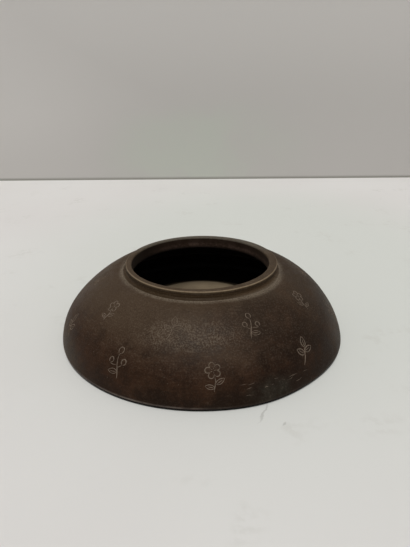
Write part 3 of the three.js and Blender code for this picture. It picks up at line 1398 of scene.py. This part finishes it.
@dataclass(frozen=True)
class PotBody:
    """Base slab, wall and domed top slab: the hollow body."""

    dome: Dome = Dome()
    floor: float = 3.0
    chamfer_width: float = 0.6
    chamfer_height: float = 1.1
    soft_hollow: float = 0.6
    soft_foot: float = 0.2
    soft_arris: float = 0.12
    ring: float = 7.0
    hollow: float = 0.8
    slope: float = 1.5
    seam_radius: float = 46.0
    mouth: float = 26.6
    undercut: float = 1.1
    undercut_height: float = 0.4
    neck: float = 2.5
    seat_width: float = 7.1
    seat_ease: float = 2.4
    seat_bend: float = 0.1
    seat_slab: float = 2.2
    line_reach: float = 4.7
    line_cover: float = 0.25
    wall_reference: float = 51.0
    top_reference: float = 41.5
    skin_step: float = 0.1
    side_step: float = 0.3
    inner_step: float = 0.9

    def base(self) -> bpy.types.Object:
        """Base slab: hollowed underside, trimmed lower corner, flat floor.

        Returns:
            The piece.
        """
        d = self.dome
        foot = d.radius - self.chamfer_width
        inner = foot - self.ring
        rim = (d.reach(self.floor), self.floor)
        arris = (d.reach(self.chamfer_height), self.chamfer_height)
        line = rounded(
            [
                (0.0, self.hollow, 0.0),
                (inner - self.slope, self.hollow, self.soft_hollow),
                (inner, 0.0, self.soft_hollow),
                (foot, 0.0, self.soft_foot),
                (*arris, self.soft_arris),
                (*rim, 0.0),
                (0.0, self.floor, 0.0),
            ]
        )
        floor_rings, under_rings, crowding = 41, 29, 1.1
        reach = np.linspace(1.0, 0.0, floor_rings + 1)[1:, None] ** crowding
        floor = np.concatenate([rim[0] * reach, np.full_like(reach, self.floor)], axis=1)
        under = np.linspace(0.0, line[1, 0], under_rings + 1)[:-1]
        under = np.stack([under, np.full_like(under, self.hollow)], axis=1)
        side = d.arc(arris, rim, 0.0, self.side_step)[1:-1]
        return disc_mesh("base_slab_clay", np.concatenate([under, line[1:-2], side, [rim], floor]))

    def joint(self) -> tuple[Pair, Pair]:
        """Outer and inner point of the joint between wall and domed slab, square through the clay.

        Returns:
            The outer and the inner point.
        """
        d, r, step = self.dome, self.seam_radius, 0.01
        slope = (d.height(r + step) - d.height(r - step)) / (2 * step)
        at = r + slope / math.hypot(slope, 1.0) * d.wall
        return (r, d.height(r)), (at, d.height(at, d.wall))

    def wall(self, rows: list[OrnamentRow | Scratches]) -> bpy.types.Object:
        """Wall from the floor to the joint.

        Args:
            rows: what is cut in it.

        Returns:
            The piece.
        """
        d = self.dome
        outer, inner = self.joint()
        low_out, low_in = (d.reach(self.floor), self.floor), (d.reach(self.floor, d.wall), self.floor)
        skin = d.arc(low_out, outer, 0.0, self.skin_step)
        back = d.arc(inner, low_in, d.wall, self.inner_step)
        return CarvedSkin("body_wall_clay", skin, back, rows, self.wall_reference).build()

    def top(self, rows: list[OrnamentRow | Scratches]) -> bpy.types.Object:
        """Domed top slab from the joint to the mouth, with the landing for the neck.

        Args:
            rows: what is cut in it.

        Returns:
            The piece.
        """
        d, mouth = self.dome, self.mouth
        outer, inner = self.joint()
        seat = mouth + self.seat_width
        seat_z = d.height(seat)
        ceiling = seat_z - self.seat_slab
        landing = [[mouth + self.neck, seat_z], [mouth, seat_z], [mouth, ceiling + self.undercut_height]]
        under = d.arc((d.reach(ceiling, d.wall), ceiling), inner, d.wall, self.inner_step)
        back = np.concatenate([landing, [[mouth + self.undercut, ceiling]], under])
        start = (seat + self.seat_ease, d.height(seat + self.seat_ease))
        shoulder = curve(start, (seat + self.seat_bend, seat_z), (seat - self.seat_ease, seat_z))
        end = [[mouth + self.line_reach - self.line_cover, seat_z]]
        skin = np.concatenate([d.arc(outer, start, 0.0, self.skin_step), shoulder[1:], end])
        skin = spaced(skin, self.skin_step)
        return CarvedSkin("domed_top_clay", skin, back, rows, self.top_reference).build()


@dataclass(frozen=True)
class Mouth:
    """Neck, lip and the line dressed round the neck's foot."""

    body: PotBody
    neck_height: float = 2.0
    lip_height: float = 1.1
    overhang: float = 0.15
    soft_under: float = 0.15
    soft_edge: float = 0.35
    soft_inside: float = 0.6
    soft_step: float = 0.08
    line_height: float = 0.3
    line_width: float = 0.9
    cove: float = 0.25
    cove_rise: float = 0.8

    @property
    def seat(self) -> float:
        """Height of the landing that the neck stands on."""
        return self.body.dome.height(self.body.mouth + self.body.seat_width)

    def neck_ring(self) -> bpy.types.Object:
        """Upright neck.

        Returns:
            The piece.
        """
        b, z0, z1 = self.body, self.seat, self.seat + self.neck_height
        r = b.mouth + b.neck
        line = [[b.mouth, z0], [r, z0], [r, z0 + self.cove_rise], [r, z1], [b.mouth, z1]]
        return ring_mesh("neck_clay", np.array(line))

    def lip(self) -> bpy.types.Object:
        """Lip: flat on top, with a crisp outer edge.

        Returns:
            The piece.
        """
        b, z0 = self.body, self.seat + self.neck_height
        r, z1 = b.mouth + b.neck + self.overhang, z0 + self.lip_height
        under = [(b.mouth, z0, 0.0), (r, z0, self.soft_under)]
        top = [(r, z1, self.soft_edge), (b.mouth, z1, self.soft_inside)]
        return ring_mesh("lip_clay", rounded(under + top, self.soft_step))

    def foot_line(self) -> bpy.types.Object:
        """Dressed clay round the neck's foot, ending in a raised line.

        Returns:
            The piece.
        """
        b, z0 = self.body, self.seat
        r, neck = b.mouth + b.line_reach, b.mouth + b.neck
        turn, half = 0.8 * math.pi, self.line_width / 2
        a = np.linspace(0.0, turn, 12)
        crest = np.stack([r - half + half * np.cos(a), z0 + self.line_height * np.sin(a)], axis=1)
        top = (neck, z0 + self.cove_rise)
        line = np.concatenate([[[neck, z0]], crest, bowed(tuple(crest[-1]), top, self.cove), [top]])
        return ring_mesh("neck_line_clay", line)


@dataclass(frozen=True)
class Rolls:
    """Clay rolls dressed into the corners inside."""

    body: PotBody
    leg: float = 2.6
    sink: float = 0.55
    half_width: float = 2.6
    rise: float = 0.5
    step: float = 0.5

    def floor_roll(self) -> bpy.types.Object:
        """Roll in the corner between floor and wall.

        Returns:
            The piece.
        """
        d, z0 = self.body.dome, self.body.floor
        low, high = (d.reach(z0, d.wall), z0), (d.reach(z0 + self.leg, d.wall), z0 + self.leg)
        toe = (low[0] - self.leg, z0)
        line = np.concatenate([[toe], d.arc(low, high, d.wall, self.step), bowed(high, toe, self.sink)])
        return ring_mesh("floor_corner_roll_clay", line)

    def seam_roll(self) -> bpy.types.Object:
        """Roll that backs the joint between wall and domed slab.

        Its face is bowed, and stands off the chord between its two edges by the rise.

        Returns:
            The piece.
        """
        d = self.body.dome
        _, (r, z) = self.body.joint()
        low = (d.reach(z - self.half_width, d.wall), z - self.half_width)
        high = (r - self.half_width, d.height(r - self.half_width, d.wall))
        line = np.concatenate([d.arc(low, high, d.wall, self.step), bowed(high, low, -self.rise)])
        return ring_mesh("seam_roll_clay", line)


# Studio


@dataclass(frozen=True)
class Hairline:
    """Thin crack in the table top, in millimetres on the table."""

    start: Pair
    end: Pair
    half_width: float = 0.5
    half_depth: float = 1.0
    strength: float = 0.38

    def share(self, g: Graph, where: Socket) -> Socket:
        """Share of the crack: full along its middle, fading to its sides and ends.

        Args:
            g: the graph.
            where: position.

        Returns:
            The share.
        """
        (x0, y0), (x1, y1) = self.start, self.end
        size = (math.hypot(x1 - x0, y1 - y0) / 2, self.half_width, self.half_depth)
        middle = ((x0 + x1) / 2, (y0 + y1) / 2, 0.0)
        return g.times(g.near(middle, size, math.atan2(y1 - y0, x1 - x0), where), self.strength)


@dataclass(frozen=True)
class TableFinish:
    """Pale painted table top, with a painted shadow round the pot, smudged, specked and with fine cracks."""

    dull: Colour = (218, 216, 214)
    pale: Colour = (221, 220, 218)
    # rubbed: colour of the painted shadow round the pot
    rubbed: Colour = (210, 213, 208)
    smudge: Colour = (196, 195, 189)
    speck: Colour = (120, 114, 106)
    crack: Colour = (150, 149, 143)
    cracks: tuple[Hairline, ...] = (
        Hairline((21.8, -49.5), (16.4, -61.0)),
        Hairline((25.2, -59.0), (23.8, -61.2)),
    )
    # middle and half axes of the painted shadow round the pot
    shadow_middle: Triple = (40.0, 75.0, 0.0)
    shadow_size: Triple = (185.0, 215.0, 50.0)
    waver: float = 0.35

    def build(self) -> bpy.types.Material:
        """Builds the material.

        Returns:
            The material.
        """
        g = Graph("table_top_pale")
        patches = g.ramp(g.noise(110.0, 2.0), 0.3, 0.7)
        smudge = g.times(
            g.ramp(g.noise(24.0, 3.0), 0.58, 0.74),
            g.ramp(g.noise(3.0, 2.0), 0.4, 0.6),
            0.35,
        )
        spot, chance, _ = g.strewn(19.0, 0.012, 0.03)
        aside = g.ramp(g.noise(2.5, 2.0), 0.3, 0.7, -self.waver * MM, self.waver * MM)
        shift = g.node("ShaderNodeCombineXYZ", {0: aside}).outputs[0]
        bent = g.node("ShaderNodeVectorMath", {0: g.where, 1: shift}, operation="ADD").outputs[0]
        colour = g.coats(
            self.dull,
            (patches, self.pale),
            # painted shadow: the table is darker and greener round the pot
            (g.times(g.near(self.shadow_middle, self.shadow_size), 0.95), self.rubbed),
            (smudge, self.smudge),
            (g.times(spot, g.ramp(chance, 0.6, 0.95), 0.7), self.speck),
            *[(crack.share(g, bent), self.crack) for crack in self.cracks],
        )
        return g.finished({"Base Color": colour, "Roughness": 0.55, "Specular IOR Level": 0.3})


@dataclass(frozen=True)
class WallFinish:
    """Pale plastered wall with painted light, lighter to the left and upwards, clouded, and with a painted
    shadow line where it meets the table.
    """

    foot: float
    dull: Colour = (194, 191, 187)
    # pale: colour of the painted light, to the left and upwards
    pale: Colour = (209, 206, 202)
    cloud: Colour = (195, 199, 189)
    # joint: colour of the painted shadow line along the wall's foot
    joint: Colour = (150, 149, 141)
    cloud_height: float = 25.0
    cloud_size: Triple = (120.0, 60.0, 60.0)

    def build(self) -> bpy.types.Material:
        """Builds the material.

        Returns:
            The material.
        """
        g = Graph("wall_pale")
        # painted light: the wall is paler to the left and upwards
        left = g.times(g.along(g.x, 0.0, -220.0), g.along(g.z, 0.0, 70.0, 0.35, 1.0))
        painted_light = g.math("MAXIMUM", left, g.along(g.z, 60.0, 160.0, 0.0, 0.85))
        painted_light = g.plus(painted_light, g.ramp(g.noise(300.0, 2.0), 0.3, 0.7, 0.0, 0.2))
        cloud = g.near((0.0, self.foot, self.cloud_height), self.cloud_size)
        cloud = g.times(cloud, g.ramp(g.noise(45.0, 3.0), 0.35, 0.65, 0.2, 0.8))
        # the last layer is the painted shadow line at the wall's foot
        layers = ((painted_light, self.pale), (cloud, self.cloud), (g.along(g.z, 3.2, 0.6), self.joint))
        return g.finished({"Base Color": g.coats(self.dull, *layers), "Roughness": 0.9})


@dataclass(frozen=True)
class Studio:
    """Table, wall behind it, lamps and camera."""

    focal_px: float = 450.0
    centre_px: Pair = (204.5, 273.0)
    distance: float = 177.83
    pitch: float = 23.6
    aim_z: float = 22.06
    roll: float = -0.46
    side: float = -1.45
    sensor: float = 36.0
    table_half: float = 1500.0
    table_front: float = -900.0
    table_end: float = 283.0
    wall_low: float = -9.0
    wall_high: float = 1400.0
    surround: Colour = (238, 238, 240)
    surround_strength: float = 0.36
    lamp_strength: float = 2.05
    lamp_spread: float = 4.0
    lamp_tilt: float = 19.6
    lamp_place: Triple = (0.0, -200.0, 600.0)
    lamp_tint: Colour = (1.0, 0.985, 0.96)

    def camera(self) -> None:
        """Places the camera as the photograph was taken: above the table, looking down at the pot."""
        cam = bpy.data.cameras.new("camera")
        cam.sensor_fit = "VERTICAL"
        cam.sensor_height = self.sensor
        cam.lens = self.focal_px / PHOTO_HEIGHT * self.sensor
        cam.shift_x = (PHOTO_WIDTH / 2 - self.centre_px[0]) / PHOTO_HEIGHT
        cam.shift_y = (self.centre_px[1] - PHOTO_HEIGHT / 2) / PHOTO_HEIGHT
        cam.clip_start = 0.01
        cam.clip_end = 20.0
        eye = placed("camera", cam)
        p = math.radians(self.pitch)
        back = Vector((0.0, -math.cos(p), math.sin(p)))
        right = Vector((1.0, 0.0, 0.0))
        roll = Matrix.Rotation(math.radians(self.roll), 3, "Z")
        turn = Matrix((right, back.cross(right), back)).transposed() @ roll
        place = Vector((-self.side, 0.0, self.aim_z)) + back * self.distance
        eye.matrix_world = Matrix.Translation(place * MM) @ turn.to_4x4()
        bpy.context.scene.camera = eye

    def sheet(self, name: str, low: Pair, high: Pair, material: bpy.types.Material) -> None:
        """Lays one flat sheet that belongs to the room, as wide as the table.

        Args:
            name: name of the sheet.
            low: y and z of its near or lower edge.
            high: y and z of its far or upper edge.
            material: its finish.
        """
        w = self.table_half
        made = mesh_object(name, np.array([(-w, *low), (w, *low), (w, *high), (-w, *high)]), [[0, 1, 2, 3]])
        made.data.materials.append(material)

    def room(self) -> None:
        """Lays the pale table top and stands the wall behind it."""
        end = self.table_end
        self.sheet("table_top", (self.table_front, 0.0), (end, 0.0), TableFinish().build())
        self.sheet("wall_behind", (end, self.wall_low), (end, self.wall_high), WallFinish(end).build())

    def lamps(self) -> None:
        """Lights the scene from overhead, slightly from the front, with a pale surround."""
        world = bpy.data.worlds.new("pale_room")
        bpy.context.scene.world = world
        world.use_nodes = True
        surround = world.node_tree.nodes["Background"].inputs
        surround[0].default_value = srgb(self.surround)
        surround[1].default_value = self.surround_strength
        lamp = bpy.data.lights.new("ceiling_lamp", "SUN")
        lamp.energy = self.lamp_strength
        lamp.angle = math.radians(self.lamp_spread)
        lamp.color = self.lamp_tint
        item = placed("ceiling_lamp", lamp)
        item.location = Vector(self.lamp_place) * MM
        item.rotation_euler = (math.radians(self.lamp_tilt), 0.0, 0.0)


# Assembly


def dress(piece: bpy.types.Object, material: bpy.types.Material, clay: Clay, *nodes: str) -> None:
    """Gives a piece its finish, fixes it to the pot and names the CAD nodes that it stands for.

    Args:
        piece: the new piece.
        material: its finish.
        clay: its material slot; not used.
        nodes: CAD nodes that it replaces.
    """
    piece.data.materials.clear()
    piece.data.materials.append(material)
    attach(piece, "root")
    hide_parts(*nodes)
    log.info("%s stands for %s, %d faces", piece.name, ", ".join(nodes), len(piece.data.polygons))


def main() -> None:
    """Builds the pot, the table and the lights."""
    logging.basicConfig(level=logging.INFO, format="%(name)s: %(message)s")
    bpy.context.scene.view_settings.view_transform = "Standard"
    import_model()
    studio = Studio()
    studio.camera()

    rubbed = ClayFinish("clay_rubbed").build()
    handled = ClayFinish("clay_handled", wear=0.2).build()
    pot = PotBody()
    mouth, rolls = Mouth(pot), Rolls(pot)
    dress(pot.base(), rubbed, Clay.BODY, "base_slab")
    dress(pot.wall([LOWER_ROW, FOOT_SCRATCHES]), rubbed, Clay.BODY, "body_wall")
    dress(pot.top([UPPER_ROW]), rubbed, Clay.BODY, "domed_top_slab")
    dress(mouth.neck_ring(), rubbed, Clay.BODY, "neck_ring")
    dress(mouth.lip(), handled, Clay.WORN, "lip_thread")
    dress(mouth.foot_line(), rubbed, Clay.WORN, "neck_line")
    dress(rolls.floor_roll(), rubbed, Clay.RAW, "floor_corner_roll")
    dress(rolls.seam_roll(), rubbed, Clay.RAW, "seam_roll")

    studio.room()
    studio.lamps()


if __name__ == "__main__":
    main()
